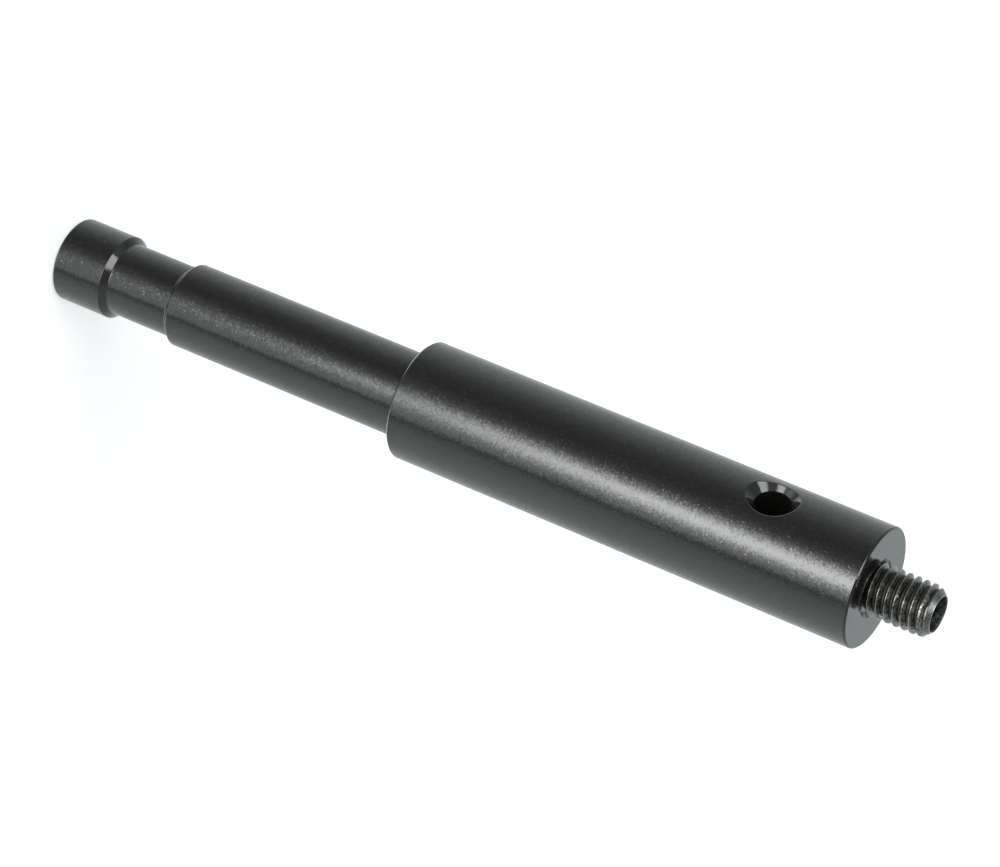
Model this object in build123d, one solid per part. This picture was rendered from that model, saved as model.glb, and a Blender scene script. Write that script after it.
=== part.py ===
"""A baby pin: a stepped bar turned from aluminium, with a threaded steel stud in one end.

The frame is the pin's own. It stands on the flat end of its head: the origin is that face's centre,
and +Z runs along the axis to the stud's tip. The cross hole runs along Y. All sizes are in millimetres.
"""

import os
from math import radians, tan

from build123d import *

INCH = 25.4

# Diameters of the turned steps. Head and shank go through one socket, so they share theirs.
SPIGOT_DIAMETER = 5 / 8 * INCH
BODY_DIAMETER = 7 / 8 * INCH

# Lengths along the axis, from the head's end face. The groove is measured at its open rim.
HEAD_LENGTH = 10.6
GROOVE_WIDTH = 15.25
SHANK_LENGTH = 49.9
BODY_LENGTH = 92.2

# The groove is this deep all round, with 45 degree flanks and the tool's nose radius in its corners.
GROOVE_DEPTH = 1.1
GROOVE_CORNER_RADIUS = 0.4

# The head's end is rounded off so that it finds its socket.
HEAD_ROUND = 0.6

# Edges broken by the turning tool at 45 degrees.
SHOULDER_CHAMFER = 0.5
FACE_CHAMFER = 0.3

# Cross hole for a tommy bar, drilled through the body and countersunk at both ends.
CROSS_HOLE_DIAMETER = 6.5
CROSS_HOLE_FROM_FACE = 20.5
CROSS_SINK_DIAMETER = 9.9
CROSS_SINK_ANGLE = 90.0

# Stud: full thread diameter, thread pitch, what stands out of the body's face and what is screwed into it.
STUD_DIAMETER = 3 / 8 * INCH
STUD_PITCH = INCH / 16
STUD_PROUD = 11.9
STUD_SUNK = 13.5
STUD_TIP_CHAMFER = 1.15
STUD_INNER_CHAMFER = 0.6

# Tapped hole down the stud's tip, at its full thread diameter.
TIP_THREAD_DIAMETER = 1 / 4 * INCH
TIP_HOLE_DEPTH = 10.0

# Drilled and tapped hole that holds the stud. The drill leaves a step at the end of the tapped length,
# and its mouth is countersunk a little wider than the thread.
STUD_DRILL_DIAMETER = STUD_DIAMETER - STUD_PITCH
STUD_DRILL_BEYOND = 0.5
STUD_SINK_MARGIN = 0.7
STUD_SINK_ANGLE = 90.0
DRILL_POINT_ANGLE = 118.0

# Where the stud's thread meshes with the hole's, both are modelled at the pitch line of a 60 degree thread,
# which lies this share of the pitch below the crests.
PITCH_LINE_SHARE = 0.3248
THREAD_CLEARANCE = 0.05

# Radii and places along the axis that follow from the sizes above.
SPIGOT_RADIUS = SPIGOT_DIAMETER / 2
BODY_RADIUS = BODY_DIAMETER / 2
STUD_RADIUS = STUD_DIAMETER / 2
MESH_RADIUS = STUD_RADIUS - PITCH_LINE_SHARE * STUD_PITCH
SHANK_START = HEAD_LENGTH + GROOVE_WIDTH
SHOULDER = SHANK_START + SHANK_LENGTH
FACE = SHOULDER + BODY_LENGTH
TIP = FACE + STUD_PROUD
STUD_SEAT = FACE - STUD_SUNK


def turned_outline():
    """Half section of the turned bar, from the axis out and back, with the head's end and the groove rounded."""
    head_side = FilletPolyline(
        (0, 0),
        (SPIGOT_RADIUS, 0),
        (SPIGOT_RADIUS, HEAD_LENGTH),
        radius=HEAD_ROUND,
    )
    groove = FilletPolyline(
        (SPIGOT_RADIUS, HEAD_LENGTH),
        (SPIGOT_RADIUS - GROOVE_DEPTH, HEAD_LENGTH + GROOVE_DEPTH),
        (SPIGOT_RADIUS - GROOVE_DEPTH, SHANK_START - GROOVE_DEPTH),
        (SPIGOT_RADIUS, SHANK_START),
        radius=GROOVE_CORNER_RADIUS,
    )
    body_side = Polyline(
        (SPIGOT_RADIUS, SHANK_START),
        (SPIGOT_RADIUS, SHOULDER),
        (BODY_RADIUS - SHOULDER_CHAMFER, SHOULDER),
        (BODY_RADIUS, SHOULDER + SHOULDER_CHAMFER),
        (BODY_RADIUS, FACE - FACE_CHAMFER),
        (BODY_RADIUS - FACE_CHAMFER, FACE),
        (0, FACE),
        (0, 0),
    )
    return make_face(Plane.XZ * (head_side + groove + body_side))


def drilled_hole(radius, mouth, depth):
    """A round hole that runs down from the height mouth, with a drill point below its full depth."""
    point = radius / tan(radians(DRILL_POINT_ANGLE / 2))
    section = Polyline(
        (0, mouth),
        (radius, mouth),
        (radius, mouth - depth),
        (0, mouth - depth - point),
        (0, mouth),
    )
    return revolve(make_face(Plane.XZ * section), Axis.Z)


def countersink(rim_radius, height, angle, over=1.0):
    """A cone, point down on the axis, that opens to rim_radius at that height and runs on past it by over."""
    slope = tan(radians(angle / 2))
    section = Polyline(
        (0, height - rim_radius / slope),
        (rim_radius + over * slope, height + over),
        (0, height + over),
        (0, height - rim_radius / slope),
    )
    return revolve(make_face(Plane.XZ * section), Axis.Z)


def cross_hole():
    """The through hole and its two countersinks, as one cutter along Y."""
    bore = Cylinder(CROSS_HOLE_DIAMETER / 2, 2 * BODY_DIAMETER)
    sink = countersink(CROSS_SINK_DIAMETER / 2, BODY_RADIUS, CROSS_SINK_ANGLE)
    cutter = bore + sink + sink.rotate(Axis.X, 180)
    return Pos(0, 0, FACE - CROSS_HOLE_FROM_FACE) * cutter.rotate(Axis.X, 90)


def stud_hole():
    """The tapped hole that the stud is screwed into, down to the step that its inner end meets."""
    tapped = Cylinder(MESH_RADIUS + THREAD_CLEARANCE, STUD_SUNK, align=(Align.CENTER, Align.CENTER, Align.MIN))
    drilled = drilled_hole(STUD_DRILL_DIAMETER / 2, FACE, STUD_SUNK + STUD_DRILL_BEYOND)
    mouth = countersink(STUD_RADIUS + STUD_SINK_MARGIN, FACE, STUD_SINK_ANGLE)
    return Pos(0, 0, STUD_SEAT) * tapped + drilled + mouth


def pin_body():
    """The turned bar with its cross hole and the hole for the stud."""
    bar = revolve(turned_outline(), Axis.Z)
    return bar - cross_hole() - stud_hole()


def threaded_stud():
    """The stud: at full thread diameter where it stands out, at the pitch line where it is screwed in.

    Both ends are chamfered across the full thread, and the tip has its own tapped hole.
    """
    inner_end = STUD_RADIUS - STUD_INNER_CHAMFER
    section = Polyline(
        (0, STUD_SEAT),
        (inner_end, STUD_SEAT),
        (MESH_RADIUS, STUD_SEAT + MESH_RADIUS - inner_end),
        (MESH_RADIUS, FACE - STUD_RADIUS + MESH_RADIUS),
        (STUD_RADIUS, FACE),
        (STUD_RADIUS, TIP - STUD_TIP_CHAMFER),
        (STUD_RADIUS - STUD_TIP_CHAMFER, TIP),
        (0, TIP),
        (0, STUD_SEAT),
    )
    rod = revolve(make_face(Plane.XZ * section), Axis.Z)
    return rod - drilled_hole(TIP_THREAD_DIAMETER / 2 + THREAD_CLEARANCE, TIP, TIP_HOLE_DEPTH)


os.makedirs("parts", exist_ok=True)
export_step(pin_body(), "parts/pin_body.step")
export_step(threaded_stud(), "parts/threaded_stud.step")
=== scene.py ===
"""Looks of the baby pin: a black turned spigot with a cut steel stud, standing on its head end."""

from math import cos, pi, radians, sin, tan

import bmesh
import bpy
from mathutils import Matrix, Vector


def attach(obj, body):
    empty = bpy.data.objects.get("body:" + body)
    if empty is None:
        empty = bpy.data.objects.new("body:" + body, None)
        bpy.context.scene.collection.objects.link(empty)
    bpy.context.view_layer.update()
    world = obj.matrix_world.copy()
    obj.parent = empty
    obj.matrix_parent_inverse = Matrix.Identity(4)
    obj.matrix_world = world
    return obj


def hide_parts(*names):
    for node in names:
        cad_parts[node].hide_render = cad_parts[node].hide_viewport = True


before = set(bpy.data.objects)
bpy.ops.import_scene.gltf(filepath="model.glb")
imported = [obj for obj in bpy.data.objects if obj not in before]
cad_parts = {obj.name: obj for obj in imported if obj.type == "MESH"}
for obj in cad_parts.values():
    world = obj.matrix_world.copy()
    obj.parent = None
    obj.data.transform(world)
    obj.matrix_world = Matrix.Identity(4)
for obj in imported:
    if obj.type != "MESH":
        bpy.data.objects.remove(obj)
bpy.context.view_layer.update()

# ---------------------------------------------------------------- camera
# The photograph is taken from beside the stud, looking down the pin with a long lens. The pin lies
# slanting in the picture, so for a pin that stands up the camera is rolled well over.

CAMERA_PLACE = (0.4501665, -0.4561809, 0.3716739)
CAMERA_TURN = (-41.27449, -57.94453, -179.38108)
LENS = 142.2575
SENSOR_WIDTH = 36.0
NEAREST_SEEN = 0.01

bpy.ops.object.camera_add(location=CAMERA_PLACE, rotation=[radians(angle) for angle in CAMERA_TURN])
camera = bpy.context.object
camera.name = "camera"
camera.data.lens = LENS
camera.data.sensor_width = SENSOR_WIDTH
camera.data.clip_start = NEAREST_SEEN
bpy.context.scene.camera = camera
bpy.context.scene.view_settings.view_transform = "Standard"


# ---------------------------------------------------------------- light
# A studio that is dimmer on one side and overhead. A soft lamp low down makes the long gloss on the bar,
# and a panel above it the bright facets in the groove and the countersink. The metal and the floor see
# this studio, and the camera sees plain white.

class Value:
    """A number that varies over a surface or the sky: one output socket of a shader node."""

    def __init__(self, socket):
        self.socket = socket

    def math(self, operation, *others, swapped=False):
        tree = self.socket.node.id_data
        made = tree.nodes.new("ShaderNodeMath")
        made.operation = operation
        terms = [self, *others]
        if swapped:
            terms.reverse()
        for term, socket in zip(terms, made.inputs):
            if isinstance(term, Value):
                tree.links.new(term.socket, socket)
            else:
                socket.default_value = term
        return Value(made.outputs[0])

    def __add__(self, other):
        return self.math("ADD", other)

    __radd__ = __add__

    def __sub__(self, other):
        return self.math("SUBTRACT", other)

    def __rsub__(self, other):
        return self.math("SUBTRACT", other, swapped=True)

    def __mul__(self, other):
        return self.math("MULTIPLY", other)

    __rmul__ = __mul__

    def __truediv__(self, other):
        return self.math("DIVIDE", other)


class Shader:
    """A node tree that is written from empty."""

    def __init__(self, owner):
        self.tree = owner.node_tree
        self.tree.nodes.clear()

    def add(self, kind, sockets=None, output=0, stops=None, **settings):
        """One node: its settings first, then its sockets' values or links. Returns the chosen output."""
        made = self.tree.nodes.new(kind)
        for name, value in settings.items():
            setattr(made, name, value)
        if stops:
            points = made.color_ramp.elements
            points[0].position, points[1].position = stops[0][0], stops[-1][0]
            for place, _ in stops[1:-1]:
                points.new(place)
            for point, (_, colour) in zip(points, stops):
                point.color = colour if isinstance(colour, tuple) else (colour,) * 3 + (1,)
        shown = {socket.name: socket for socket in made.inputs if socket.enabled}
        for name, value in (sockets or {}).items():
            socket = shown[name] if isinstance(name, str) else made.inputs[name]
            if isinstance(value, Value):
                self.tree.links.new(value.socket, socket)
            else:
                socket.default_value = value
        return Value(made.outputs[output]) if made.outputs else None

    def fade(self, value, start, end, low=0.0, high=1.0, smooth=True):
        """Runs from low to high as value goes from start to end."""
        return self.add(
            "ShaderNodeMapRange",
            {"Value": value, "From Min": start, "From Max": end, "To Min": low, "To Max": high},
            interpolation_type="SMOOTHSTEP" if smooth else "LINEAR",
        )

    def vector(self, operation, first, second):
        """Vector Math on a vector and a second vector, or on a vector and a scale."""
        return self.add(
            "ShaderNodeVectorMath",
            {0: first, "Scale" if operation == "SCALE" else 1: second},
            operation=operation,
        )

    def parts(self, vector):
        """The three numbers of a vector."""
        split = self.add("ShaderNodeSeparateXYZ", {"Vector": vector}).socket.node
        return [Value(socket) for socket in split.outputs]


# Brightness of the studio by compass bearing about the pin, in degrees from +X towards +Y: as it is low
# down, and as it is above the pin.
STUDIO_LOW = [
    (-180, 0.86), (-155, 0.76), (-138, 0.57), (-115, 0.265), (-95, 0.158), (-82, 0.18), (-72, 0.29), (-62, 0.43),
    (-50, 0.84), (-38, 1.07), (-14, 1.04), (-6, 1.12), (0, 0.42), (5, 0.37), (11, 0.58), (16, 0.68), (25, 0.78),
    (45, 0.85), (65, 0.88), (85, 0.88), (105, 0.82), (125, 0.75), (145, 0.80), (162, 0.88), (180, 0.86),
]
STUDIO_HIGH = [
    (-180, 0.60), (-165, 0.40), (-150, 0.30), (-120, 0.45), (-60, 0.45), (-30, 0.29), (-5, 0.31), (15, 0.48),
    (60, 0.54), (85, 0.60), (110, 0.92), (150, 0.95), (165, 0.80), (180, 0.60),
]
STUDIO_BRIGHTEST = 1.25
STUDIO_TINT = (0.922, 0.993, 1.0, 1)

# Heights are in degrees above the horizon: where a change starts and ends. The foot and the ceiling also
# say the level before it and after it.
LOW_TO_HIGH = (-10.0, 18.0)
STUDIO_FOOT = (-55.0, -32.0, 1.7, 1.0)
STUDIO_CEILING = (35.0, 70.0, 1.0, 0.55)

LAMP_LEVEL = 5.95
LAMP_TINT = (0.99, 1.0, 0.985, 1)
LAMP_BEARING = -36.0
LAMP_WIDTH = 10.6
LAMP_FOOT = (-28.2, -20.1)
LAMP_HEAD = (0.0, 8.0)

PANEL_LEVEL = 3.7
PANEL_TINT = (0.96, 0.99, 1.0, 1)
PANEL_LEFT = (-104.0, -98.0)
PANEL_RIGHT = (-62.0, -44.0)
PANEL_FOOT = (34.0, 42.0)
PANEL_HEAD = (68.0, 82.0)

WHITE = (1, 1, 1, 1)

world = bpy.data.worlds.new("studio")
world.use_nodes = True
bpy.context.scene.world = world
sky = Shader(world)
east, north, up = sky.parts(sky.add("ShaderNodeTexCoord", output="Generated"))
bearing = north.math("ARCTAN2", east) * (180 / pi)
height = up.math("ARCSINE") * (180 / pi)


def around(levels):
    """The studio's brightness at this bearing."""
    stops = [((angle + 180) / 360, level / STUDIO_BRIGHTEST) for angle, level in levels]
    return sky.add("ShaderNodeValToRGB", {"Fac": bearing / 360 + 0.5}, stops=stops) * STUDIO_BRIGHTEST


high = sky.fade(height, *LOW_TO_HIGH)
wall = around(STUDIO_LOW) * (1 - high) * sky.fade(height, *STUDIO_FOOT)
wall = wall + around(STUDIO_HIGH) * high * sky.fade(height, *STUDIO_CEILING)
off_lamp = (bearing - LAMP_BEARING) / LAMP_WIDTH
lamp = (off_lamp * off_lamp * -0.5).math("EXPONENT") * LAMP_LEVEL
lamp = lamp * sky.fade(height, *LAMP_FOOT) * sky.fade(height, *LAMP_HEAD, 1.0, 0.0)
panel = sky.fade(bearing, *PANEL_LEFT) * sky.fade(bearing, *PANEL_RIGHT, 1.0, 0.0) * PANEL_LEVEL
panel = panel * sky.fade(height, *PANEL_FOOT) * sky.fade(height, *PANEL_HEAD, 1.0, 0.0)
to_camera = sky.add("ShaderNodeLightPath", output="Is Camera Ray")
wall_light = sky.add("ShaderNodeBackground", {"Color": STUDIO_TINT, "Strength": wall})
lamp_light = sky.add("ShaderNodeBackground", {"Color": LAMP_TINT, "Strength": lamp})
panel_light = sky.add("ShaderNodeBackground", {"Color": PANEL_TINT, "Strength": panel})
backdrop = sky.add("ShaderNodeBackground", {"Color": WHITE})
lit = sky.add("ShaderNodeAddShader", {0: wall_light, 1: lamp_light})
lit = sky.add("ShaderNodeAddShader", {0: lit, 1: panel_light})
background = sky.add("ShaderNodeMixShader", {"Fac": to_camera, 1: lit, 2: backdrop})
sky.add("ShaderNodeOutputWorld", {"Surface": background})


# ---------------------------------------------------------------- floor
# A plain white table top. It takes the pin's shadow, and the pin's gloss doesn't show it: rays that
# bounce off the metal pass through to the studio.

FLOOR_RADIUS = 4.0
FLOOR_CORNERS = 96
FLOOR_COLOUR = (0.80, 0.80, 0.80, 1)
FLOOR_LIFT = 0.55

bpy.ops.object.select_all(action="DESELECT")
bpy.ops.mesh.primitive_circle_add(vertices=FLOOR_CORNERS, radius=FLOOR_RADIUS, fill_type="NGON", location=(0, 0, 0))
floor = bpy.context.object
floor.name = "floor"
floor_paint = bpy.data.materials.new("white_table")
floor_paint.use_nodes = True
table = Shader(floor_paint)
to_camera = table.add("ShaderNodeLightPath", output="Is Camera Ray")
to_matt = table.add("ShaderNodeLightPath", output="Is Diffuse Ray")
matt = table.add("ShaderNodeBsdfDiffuse", {"Color": FLOOR_COLOUR})
lift = table.add("ShaderNodeEmission", {"Strength": FLOOR_LIFT})
lifted = table.add("ShaderNodeAddShader", {0: matt, 1: lift})
solid = table.add("ShaderNodeMixShader", {"Fac": to_camera, 1: matt, 2: lifted})
clear = table.add("ShaderNodeBsdfTransparent")
table.add("ShaderNodeOutputMaterial", {
    "Surface": table.add("ShaderNodeMixShader", {"Fac": to_camera + to_matt, 1: clear, 2: solid}),
})
floor.data.materials.append(floor_paint)


# ---------------------------------------------------------------- pin body
# One bar of aluminium, turned in steps on a lathe, cross-drilled, countersunk and tapped, then etched
# and anodised black. The etch leaves a fine grain that breaks up the gloss.

MM = 0.001
INCH = 25.4 * MM
MERGED = 1e-6

# Radii of the turned steps, and heights from the head's end face.
SPIGOT = 5 / 16 * INCH
BODY = 7 / 16 * INCH
NECK = SPIGOT - 1.1 * MM
HEAD_END = 10.6 * MM
SHANK_START = 25.85 * MM
SHOULDER = 75.75 * MM
FACE = 167.95 * MM
GROOVE_FLOOR_START = HEAD_END + SPIGOT - NECK
GROOVE_FLOOR_END = SHANK_START - SPIGOT + NECK

# Broken edges, and the lathe's small round on all others. The groove's corners turn through 45 degrees, so
# their radius sets them back by its tangent of half that.
HEAD_ROUND = 0.6 * MM
SHOULDER_CHAMFER = 0.5 * MM
FACE_CHAMFER = 0.3 * MM
GROOVE_CORNER = 0.4 * MM
GROOVE_SETBACK = GROOVE_CORNER * tan(pi / 8)
EDGE = 0.07 * MM
LATHE_STEPS = 480

# The cross hole, its countersinks' radius at their rims, and how far above and below its middle the
# body's outline has a point, so that the long faces beyond aren't cut. Tools run past the bar.
CROSS_HOLE = 3.25 * MM
CROSS_SINK = 4.95 * MM
CROSS_HEIGHT = FACE - 20.5 * MM
CROSS_ROOM = 7 * MM
SINK_DEPTH = CROSS_SINK - CROSS_HOLE
PAST = 1.0 * MM
DRILL_STEPS = 160


def pick(piece):
    """Selects one piece alone and makes it active."""
    bpy.ops.object.select_all(action="DESELECT")
    bpy.context.view_layer.objects.active = piece
    piece.select_set(True)


def select_ring(radius, z):
    """In edit mode, selects the edges of the ring with this radius and height, and nothing else."""
    mesh = bmesh.from_edit_mesh(bpy.context.object.data)
    bpy.ops.mesh.select_mode(type="EDGE")
    bpy.ops.mesh.select_all(action="DESELECT")
    for edge in mesh.edges:
        if all(abs(v.co.z - z) < MERGED and abs(v.co.xy.length - radius) < MERGED for v in edge.verts):
            edge.select_set(True)
    mesh.select_flush_mode()
    bmesh.update_edit_mesh(bpy.context.object.data)


def turned(name, outline, rounds=(), steps=DRILL_STEPS):
    """Draws an outline of (radius, height) points and spins it about Z.

    Each of rounds breaks one ring's edge: its radius and height, the width of the round and its faces.
    """
    bpy.ops.object.select_all(action="DESELECT")
    bpy.ops.mesh.primitive_plane_add(size=MM, location=(0, 0, 0))
    made = bpy.context.object
    made.name = name
    bpy.ops.object.mode_set(mode="EDIT")
    bpy.ops.mesh.select_mode(type="VERT")
    bpy.ops.mesh.select_all(action="SELECT")
    bpy.ops.mesh.merge(type="CENTER")
    last = (0, 0)
    for place, (radius, z) in enumerate(outline):
        step = (radius - last[0], 0, z - last[1])
        if place == 0:
            bpy.ops.transform.translate(value=step)
        else:
            bpy.ops.mesh.extrude_region_move(TRANSFORM_OT_translate={"value": step})
        last = (radius, z)
    bpy.ops.mesh.select_all(action="SELECT")
    bpy.ops.mesh.spin(steps=steps, angle=2 * pi, center=(0, 0, 0), axis=(0, 0, 1))
    bpy.ops.mesh.select_all(action="SELECT")
    bpy.ops.mesh.remove_doubles(threshold=MERGED)
    bpy.ops.mesh.normals_make_consistent(inside=False)
    for radius, z, width, faces in rounds:
        select_ring(radius, z)
        bpy.ops.mesh.bevel(offset=width, segments=faces, affect="EDGES")
    bpy.ops.object.mode_set(mode="OBJECT")
    return made


def combine(piece, tool, operation):
    """Cuts, joins or trims a piece with a tool, which is used up."""
    pick(piece)
    change = piece.modifiers.new("cut", "BOOLEAN")
    change.operation = operation
    change.solver = "EXACT"
    change.object = tool
    bpy.ops.object.modifier_apply(modifier="cut")
    bpy.data.objects.remove(tool)
    bpy.ops.object.mode_set(mode="EDIT")
    bpy.ops.mesh.select_all(action="SELECT")
    bpy.ops.mesh.remove_doubles(threshold=MERGED)
    bpy.ops.mesh.dissolve_degenerate(threshold=MERGED)
    bpy.ops.object.mode_set(mode="OBJECT")


def smooth(piece, angle):
    """Smooth shading, with edges sharper than this angle kept crisp and large faces kept flat."""
    pick(piece)
    bpy.ops.object.shade_smooth_by_angle(angle=radians(angle))
    change = piece.modifiers.new("weigh", "WEIGHTED_NORMAL")
    change.weight = 100
    change.keep_sharp = True
    bpy.ops.object.modifier_apply(modifier="weigh")


pin_body = turned(
    "turned_body",
    [
        (0, 0),
        (SPIGOT, 0),
        (SPIGOT, HEAD_END),
        (NECK, GROOVE_FLOOR_START),
        (NECK, GROOVE_FLOOR_END),
        (SPIGOT, SHANK_START),
        (SPIGOT, SHOULDER),
        (BODY - SHOULDER_CHAMFER, SHOULDER),
        (BODY, SHOULDER + SHOULDER_CHAMFER),
        (BODY, CROSS_HEIGHT - CROSS_ROOM),
        (BODY, CROSS_HEIGHT + CROSS_ROOM),
        (BODY, FACE - FACE_CHAMFER),
        (BODY - FACE_CHAMFER, FACE),
        (0, FACE),
    ],
    rounds=[
        (SPIGOT, 0, HEAD_ROUND, 8),
        (SPIGOT, HEAD_END, EDGE, 3),
        (NECK, GROOVE_FLOOR_START, GROOVE_SETBACK, 5),
        (NECK, GROOVE_FLOOR_END, GROOVE_SETBACK, 5),
        (SPIGOT, SHANK_START, EDGE, 3),
        (SPIGOT, SHOULDER, EDGE, 3),
        (BODY - SHOULDER_CHAMFER, SHOULDER, EDGE, 2),
        (BODY, SHOULDER + SHOULDER_CHAMFER, EDGE, 2),
        (BODY, FACE - FACE_CHAMFER, EDGE, 2),
        (BODY - FACE_CHAMFER, FACE, EDGE, 2),
    ],
    steps=LATHE_STEPS,
)

# The cross hole and its two countersinks are one tool, spun about Z and then laid along Y.
cross_drill = turned(
    "cross_drill",
    [
        (0, -BODY - PAST),
        (CROSS_SINK + PAST, -BODY - PAST),
        (CROSS_HOLE, -BODY + SINK_DEPTH),
        (CROSS_HOLE, BODY - SINK_DEPTH),
        (CROSS_SINK + PAST, BODY + PAST),
        (0, BODY + PAST),
    ],
)
pick(cross_drill)
cross_drill.rotation_euler = (pi / 2, 0, 0)
cross_drill.location = (0, 0, CROSS_HEIGHT)
bpy.ops.object.transform_apply(location=True, rotation=True, scale=True)
combine(pin_body, cross_drill, "DIFFERENCE")

# The edge between the bar's round and each countersink is broken by a narrow lip. Its cutter's section is
# a triangle that runs a little past both surfaces and stands clear of the bar.
LIP = 0.09 * MM
LIP_ON_CONE = 0.7 * LIP
LIP_STEPS = 240
LIP_ROUNDS = 12
LIP_PAST = 0.05 * MM
LIP_CLEAR = 4


def lip_cutter(side):
    """A ring of triangular section that breaks one countersink's edge. Its side is -1 or 1 along Y."""
    bpy.ops.object.select_all(action="DESELECT")
    bpy.ops.mesh.primitive_torus_add(major_segments=LIP_STEPS, minor_segments=3, location=(0, 0, 0))
    made = bpy.context.object
    made.name = "lip_cutter"
    for step in range(LIP_STEPS):
        angle = 2 * pi * step / LIP_STEPS
        rim = CROSS_SINK
        for _ in range(LIP_ROUNDS):
            rim = CROSS_SINK - BODY + (BODY ** 2 - (rim * cos(angle)) ** 2) ** 0.5
        out = rim + LIP
        on_cone = Vector((rim - LIP_ON_CONE, rim + BODY - CROSS_SINK - LIP_ON_CONE))
        on_bar = Vector((out, (BODY ** 2 - (out * cos(angle)) ** 2) ** 0.5))
        past = (on_bar - on_cone).normalized() * LIP_PAST
        clear_of_bar = (on_cone + on_bar) / 2 + Vector((-past.y, past.x)) * LIP_CLEAR
        for corner, (reach, y) in enumerate((on_cone - past, on_bar + past, clear_of_bar)):
            place = (reach * cos(angle), side * y, CROSS_HEIGHT + reach * sin(angle))
            made.data.vertices[3 * step + corner].co = place
    bpy.ops.object.mode_set(mode="EDIT")
    bpy.ops.mesh.select_all(action="SELECT")
    bpy.ops.mesh.normals_make_consistent(inside=False)
    bpy.ops.object.mode_set(mode="OBJECT")
    return made


combine(pin_body, lip_cutter(-1), "DIFFERENCE")
combine(pin_body, lip_cutter(1), "DIFFERENCE")

# The stud's tapped hole shows only at its mouth, where its thread runs out into the countersink, so its
# thread is drawn for four turns.
STUD = 3 / 16 * INCH
STUD_PITCH = INCH / 16
STUD_DEPTH = 13.5 * MM
STUD_SINK = STUD + 0.7 * MM
THREAD_ROOM = 0.06 * MM
THREAD_DEPTH_IN_PITCHES = 0.6134
THREAD_CREST_IN_PITCHES = 1 / 16
THREAD_CREST = THREAD_CREST_IN_PITCHES * STUD_PITCH
THREAD_DEPTH = THREAD_DEPTH_IN_PITCHES * STUD_PITCH
THREAD_BITE = 0.18 * MM
THREAD_START = FACE + 0.67 * MM
TAP_DRILL = STUD - THREAD_DEPTH + THREAD_ROOM
TAPPED_TURNS = 4
SCREW_STEPS = 96
TAP_STEPS = 192
FLANK_SLOPE = tan(radians(30))
CREST_ROUND = 0.35
CREST_FLAT = 0.4


def ridge_outline(crest, depth, half_crest):
    """A 60 degree thread ridge: its rounded crest, its flanks, and a foot that bites into the bar under it."""
    half_foot = half_crest + (depth + THREAD_BITE) * FLANK_SLOPE
    foot = crest - (depth + THREAD_BITE)
    fall = CREST_ROUND * half_crest
    return [
        (foot, -half_foot),
        (crest - fall, -half_crest - fall * FLANK_SLOPE),
        (crest, -half_crest * CREST_FLAT),
        (crest, half_crest * CREST_FLAT),
        (crest - fall, half_crest + fall * FLANK_SLOPE),
        (foot, half_foot),
    ]


def screw_ridge(name, outline, pitch, start, turns):
    """A helical ridge of this closed outline, wound right-handed about Z from the height start."""
    bpy.ops.object.select_all(action="DESELECT")
    bpy.ops.mesh.primitive_circle_add(vertices=len(outline), radius=MM, fill_type="NOTHING", location=(0, 0, 0))
    made = bpy.context.object
    made.name = name
    for corner, (radius, z) in zip(made.data.vertices, outline):
        corner.co = (radius, 0, start + z)
    change = made.modifiers.new("wind", "SCREW")
    change.screw_offset = pitch * turns
    change.angle = 2 * pi * turns
    change.steps = change.render_steps = SCREW_STEPS * turns
    change.use_smooth_shade = False
    bpy.ops.object.modifier_apply(modifier="wind")
    bpy.ops.object.mode_set(mode="EDIT")
    bpy.ops.mesh.select_all(action="DESELECT")
    bpy.ops.mesh.select_mode(type="EDGE")
    bpy.ops.mesh.select_non_manifold()
    bpy.ops.mesh.fill()
    bpy.ops.mesh.select_all(action="SELECT")
    bpy.ops.mesh.normals_make_consistent(inside=False)
    bpy.ops.object.mode_set(mode="OBJECT")
    return made


tap = turned(
    "tap",
    [
        (0, FACE - STUD_DEPTH),
        (TAP_DRILL, FACE - STUD_DEPTH),
        (TAP_DRILL, FACE - STUD_SINK + TAP_DRILL),
        (STUD_SINK + PAST, FACE + PAST),
        (0, FACE + PAST),
    ],
    steps=TAP_STEPS,
)
combine(tap, screw_ridge(
    "tap_ridge",
    ridge_outline(STUD + THREAD_ROOM, THREAD_DEPTH, THREAD_CREST + THREAD_ROOM),
    STUD_PITCH, THREAD_START - TAPPED_TURNS * STUD_PITCH, TAPPED_TURNS,
), "UNION")
combine(pin_body, tap, "DIFFERENCE")
smooth(pin_body, angle=20)

# The anodised skin. Sizes of the grain are in cells for each metre. Every cell's normal leans a little
# another way, the bright flecks' more, and towards the head it leans further along the axis. The
# countersinks and the end faces are smoother than the round.
PATCHES = 900.0
FLECKS = 3400.0
FACETS = 3900.0
FLECK_EDGE = (0.60, 0.20)
FLECK_LOT = (0.0, 0.75)
LEAN = 0.038
FLECK_LEAN = 0.24
HEAD_AXIAL_LEAN = 1.25
BODY_AXIAL_LEAN = 0.2
FLECK_LESS_AXIAL = 0.85
SMOOTHER = 0.35
END_FACE = (0.05, 0.25)
PATCH_LIMITS = (0.32, 0.68)
GLOSS = (0.06, 0.13)
PATCH_SHARE = 0.6
FLECK_SHARE = 0.35
PATCH_BUMP = 0.00001
ANODISE_IOR = 1.77
BLACKS = [
    (0.15, (0.0054, 0.0050, 0.0040, 1)),
    (0.45, (0.0078, 0.0072, 0.0060, 1)),
    (0.8, (0.024, 0.025, 0.023, 1)),
]
CENTRE = (0.5, 0.5, 0.5)

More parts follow.
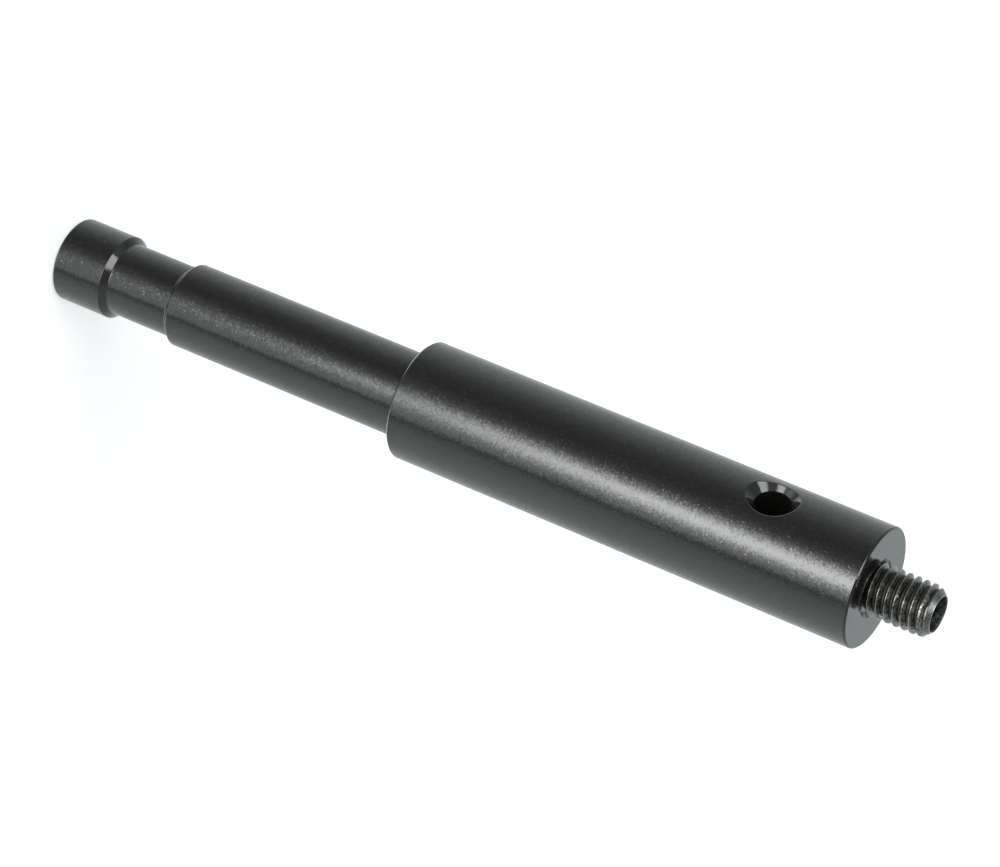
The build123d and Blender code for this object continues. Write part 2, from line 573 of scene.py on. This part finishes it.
black = bpy.data.materials.new("black_anodised")
black.use_nodes = True
skin = Shader(black)
place = skin.add("ShaderNodeTexCoord", output="Object")
face_normal = skin.add("ShaderNodeNewGeometry", output="Normal")
patches = skin.add("ShaderNodeTexNoise", {"Vector": place, "Scale": PATCHES, "Detail": 4.0, "Roughness": 0.65})
cells = skin.add("ShaderNodeTexVoronoi", {"Vector": place, "Scale": FLECKS})
lot = skin.parts(Value(cells.socket.node.outputs["Color"]))[0]
flecks = skin.fade(cells, *FLECK_EDGE) * skin.fade(lot, *FLECK_LOT)
facets = skin.add("ShaderNodeTexVoronoi", {"Vector": place, "Scale": FACETS}, output=1)
facets = skin.vector("SUBTRACT", facets, CENTRE)

x, _, z = skin.parts(place)
from_hole = (x * x + (z - CROSS_HEIGHT) * (z - CROSS_HEIGHT)).math("SQRT")
upright = skin.parts(face_normal)[2].math("ABSOLUTE")
etched = skin.fade(from_hole, CROSS_SINK - LIP, CROSS_SINK, SMOOTHER, 1.0)
etched = etched * skin.fade(upright, *END_FACE, 1.0, SMOOTHER)
axial = skin.fade(z, 0.0, SHOULDER, HEAD_AXIAL_LEAN, BODY_AXIAL_LEAN, smooth=False)
axial = axial * (1 - flecks * FLECK_LESS_AXIAL)
along = skin.add("ShaderNodeCombineXYZ", {"X": 1.0, "Y": 1.0, "Z": axial})
lean = skin.vector("MULTIPLY", facets, along)
lean = skin.vector("SCALE", lean, (flecks * FLECK_LEAN + LEAN) * etched)
normal = skin.vector("ADD", face_normal, lean)
normal = skin.add("ShaderNodeVectorMath", {0: normal}, operation="NORMALIZE")

skin.add("ShaderNodeOutputMaterial", {"Surface": skin.add("ShaderNodeBsdfPrincipled", {
    "Base Color": skin.add(
        "ShaderNodeValToRGB", {"Fac": patches * PATCH_SHARE + flecks * FLECK_SHARE}, stops=BLACKS,
    ),
    "Roughness": skin.fade(patches, *PATCH_LIMITS, *GLOSS),
    "IOR": ANODISE_IOR,
    "Anisotropic": 0.3,
    "Anisotropic Rotation": 0.25,
    "Normal": skin.add(
        "ShaderNodeBump", {"Height": patches, "Strength": 1.0, "Distance": PATCH_BUMP, "Normal": normal},
    ),
})})
pin_body.data.materials.append(black)
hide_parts("pin_body")
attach(pin_body, "root")


# ---------------------------------------------------------------- threaded stud
# A length of 3/8 inch steel rod with a coarse cut thread, screwed into the body and left grey. Its tip
# is chamfered and has a 1/4 inch tapped hole.

TIP = FACE + 11.9 * MM
TIP_CHAMFER = 1.34 * MM
INNER_CHAMFER = 0.6 * MM
STUD_TURNS = 18
STUD_TURNS_BELOW = 10
TIP_PITCH = INCH / 20
TIP_THREAD = INCH / 8
TIP_DRILL = 2.72 * MM
TIP_MOUTH = 3.25 * MM
TIP_DEPTH = 10 * MM
TIP_TURNS = 7
DRILL_POINT = 0.6

stud = turned(
    "stud",
    [
        (0, FACE - STUD_DEPTH - MM),
        (STUD - THREAD_DEPTH, FACE - STUD_DEPTH - MM),
        (STUD - THREAD_DEPTH, TIP + MM),
        (0, TIP + MM),
    ],
    steps=TAP_STEPS,
)
combine(stud, screw_ridge(
    "stud_ridge",
    ridge_outline(STUD, THREAD_DEPTH, THREAD_CREST),
    STUD_PITCH, THREAD_START - STUD_TURNS_BELOW * STUD_PITCH, STUD_TURNS,
), "UNION")

# What the lathe leaves of the thread: it tapers off a little before the tip's chamfer.
blank = turned(
    "blank",
    [
        (0, FACE - STUD_DEPTH),
        (STUD - INNER_CHAMFER, FACE - STUD_DEPTH),
        (STUD + MM, FACE - STUD_DEPTH + INNER_CHAMFER + MM),
        (STUD + MM, TIP - 5 * MM),
        (STUD, TIP - 3.6 * MM),
        (STUD - 0.04 * MM, TIP - 2.6 * MM),
        (STUD - 0.12 * MM, TIP - 1.6 * MM),
        (STUD - 0.26 * MM, TIP - 1.2 * MM),
        (STUD - TIP_CHAMFER + 0.04 * MM, TIP - 0.05 * MM),
        (STUD - TIP_CHAMFER, TIP),
        (0, TIP),
    ],
    steps=TAP_STEPS,
)
combine(stud, blank, "INTERSECT")
tip_tap = turned(
    "tip_tap",
    [
        (0, TIP - TIP_DEPTH - TIP_DRILL * DRILL_POINT),
        (TIP_DRILL, TIP - TIP_DEPTH),
        (TIP_DRILL, TIP - 2.6 * MM),
        (3.0 * MM, TIP - 1.2 * MM),
        (TIP_MOUTH, TIP - 0.04 * MM),
        (TIP_MOUTH + 0.08 * MM, TIP + 0.04 * MM),
        (0, TIP + 0.05 * MM),
    ],
)
combine(tip_tap, screw_ridge(
    "tip_ridge",
    ridge_outline(TIP_THREAD, THREAD_DEPTH_IN_PITCHES * TIP_PITCH, THREAD_CREST_IN_PITCHES * TIP_PITCH),
    TIP_PITCH, TIP - TIP_DEPTH + TIP_PITCH, TIP_TURNS,
), "UNION")
combine(stud, tip_tap, "DIFFERENCE")
smooth(stud, angle=35)

# The cut steel. Its colour is painted dark as painted shade in the thread's root and deep in the tip's hole. It is
# lighter and worn towards the crest and bright where the tip is chamfered, with a painted highlight on the tip's
# rim.
# A lighter brown line of painted reflection runs along the root, and the flanks that look down are a little rusty.
MOTTLES = 3000.0
CHIPS = 2600.0
MOTTLE_BUMP = 0.00002
STEELS = [
    (0.0, (0.014, 0.0135, 0.0125, 1)),
    (0.5, (0.16, 0.161, 0.155, 1)),
    (1.0, (0.36, 0.365, 0.352, 1)),
]
# Painted reflection: a lighter brown for the bright line that the lamp leaves along the thread's root.
VALLEY_REFLECTION_BROWN = (0.14, 0.124, 0.098, 1)
FLANK_RUST = (0.17, 0.135, 0.085, 1)
VALLEY_REFLECTION_SHARE = 0.55

# Where each part of the surface starts and where it is fully there, by radius or height. The rust on the flanks
# goes by how far the surface looks down, and by the mottles.
ROOT = STUD - THREAD_DEPTH
CREST_RADII = (STUD - 0.16 * MM, STUD - 0.04 * MM)
# Painted shade: below these radii the thread's root is painted dark. Above them the steel is painted lit and is
# worn smoother.
ROOT_SHADE_AND_WEAR_RADII = (ROOT + 0.05 * MM, ROOT + 0.24 * MM)
VALLEY_RADII_ABOVE = (ROOT + 0.02 * MM, ROOT + 0.004 * MM)
VALLEY_RADII_BELOW = (ROOT - 0.2 * MM, ROOT - 0.1 * MM)
TIP_HEIGHTS = (TIP - 1.35 * MM, TIP - 1.1 * MM)
TIP_RADII = (TIP_MOUTH - 0.04 * MM, TIP_MOUTH + 0.02 * MM)
# Painted highlight: the top of the tip, on its rim round the hole's mouth, is painted lighter.
TIP_RIM_HIGHLIGHT_HEIGHTS = (TIP - 0.13 * MM, TIP - 0.05 * MM)
MOUTH_HEIGHTS = (TIP - 1.7 * MM, TIP - 1.2 * MM)
MOUTH_RADII = (TIP_MOUTH + 0.02 * MM, TIP_MOUTH - 0.04 * MM)
LOOKS_DOWN = (-0.45, -0.8)
RUST_MOTTLES = (0.4, 0.7)

# How light the steel is: by its mottles and chips, which the tip has less of, by how worn it is, by the painted
# shade in the thread's root and deep in the tip's hole, and by the painted highlight on the tip's rim.
LIGHT_MOTTLES = (0.38, 0.62)
MOTTLE_SHARE = 0.35
CHIP_SHARE = 0.65
TIP_EVENNESS = 0.6
TIP_SHADE = 0.30
LIT_AND_WORN_LEVEL = 0.08
SPOTTY_SHADE = 1.05
CREST_SHADE = 0.2
TIP_RIM_HIGHLIGHT = 0.4
MOUTH_LIT_SHARE = 0.5

# How far the chips' normals lean and how rough the steel is. Worn and turned places are smoother.
CHIP_LEAN = 0.32
CHIP_LEAN_LESS_AT_TIP = 0.3
CHIP_LEAN_LESS_AT_CREST = 0.25
ROUGH_ROOT = 0.55
POLISH_MOTTLES = (0.3, 0.7)
RUBBED_POLISH = (0.26, 0.16)
CREST_POLISH = 0.18

steel = bpy.data.materials.new("cut_steel")
steel.use_nodes = True
metal = Shader(steel)
place = metal.add("ShaderNodeTexCoord", output="Object")
face_normal = metal.add("ShaderNodeNewGeometry", output="Normal")
x, y, z = metal.parts(place)
radius = (x * x + y * y).math("SQRT")
mottle = metal.add("ShaderNodeTexNoise", {"Vector": place, "Scale": MOTTLES, "Detail": 2.0, "Roughness": 0.6})
chips = metal.add("ShaderNodeTexVoronoi", {"Vector": place, "Scale": CHIPS}, output=1)

crest = metal.fade(radius, *CREST_RADII)
tip = metal.fade(z, *TIP_HEIGHTS) * metal.fade(radius, *TIP_RADII)
# Painted highlight along the tip's rim.
tip_rim_highlight = tip * metal.fade(z, *TIP_RIM_HIGHLIGHT_HEIGHTS)
mouth = metal.fade(radius, *MOUTH_RADII) * metal.fade(z, *MOUTH_HEIGHTS)
# Painted shade: this mask is nought in the thread's root and deep in the tip's hole, which are painted dark. It is
# half near the hole's mouth, and full on the crest and the tip's chamfer.
lit_and_worn = metal.fade(radius, *ROOT_SHADE_AND_WEAR_RADII).math("MAXIMUM", tip).math("MAXIMUM", mouth * MOUTH_LIT_SHARE)
# Painted reflection along the thread's root.
valley = metal.fade(radius, *VALLEY_RADII_ABOVE) * metal.fade(radius, *VALLEY_RADII_BELOW)
valley = valley * (1 - tip) * VALLEY_REFLECTION_SHARE
rusty = metal.fade(metal.parts(face_normal)[2], *LOOKS_DOWN) * metal.fade(mottle, *RUST_MOTTLES)

spotty = metal.fade(mottle, *LIGHT_MOTTLES) * MOTTLE_SHARE + metal.parts(chips)[0] * CHIP_SHARE
spotty = spotty * (1 - tip * TIP_EVENNESS) + tip * TIP_SHADE
shade = lit_and_worn * (LIT_AND_WORN_LEVEL + spotty * SPOTTY_SHADE + crest * CREST_SHADE) + tip_rim_highlight * TIP_RIM_HIGHLIGHT
tone = metal.add("ShaderNodeValToRGB", {"Fac": shade}, stops=STEELS)
# Mixes in the painted reflection along the root, and the rust on the flanks that look down.
for rust_and_sheen, colour in ((valley, VALLEY_REFLECTION_BROWN), (rusty, FLANK_RUST)):
    tone = metal.add("ShaderNodeMix", {"Factor": rust_and_sheen, "A": tone, "B": colour}, data_type="RGBA", output=2)

chip_lean = CHIP_LEAN - tip * CHIP_LEAN_LESS_AT_TIP - crest * CHIP_LEAN_LESS_AT_CREST
lean = metal.vector("SCALE", metal.vector("SUBTRACT", chips, CENTRE), chip_lean)
normal = metal.vector("ADD", face_normal, lean)
normal = metal.add("ShaderNodeVectorMath", {0: normal}, operation="NORMALIZE")

metal.add("ShaderNodeOutputMaterial", {"Surface": metal.add("ShaderNodeBsdfPrincipled", {
    "Base Color": tone,
    "Metallic": 1.0,
    "Roughness": ROUGH_ROOT - lit_and_worn * metal.fade(mottle, *POLISH_MOTTLES, *RUBBED_POLISH) - crest * CREST_POLISH,
    "Normal": metal.add(
        "ShaderNodeBump", {"Height": mottle, "Strength": 0.8, "Distance": MOTTLE_BUMP, "Normal": normal},
    ),
})})
stud.data.materials.append(steel)
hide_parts("threaded_stud")
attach(stud, "root")
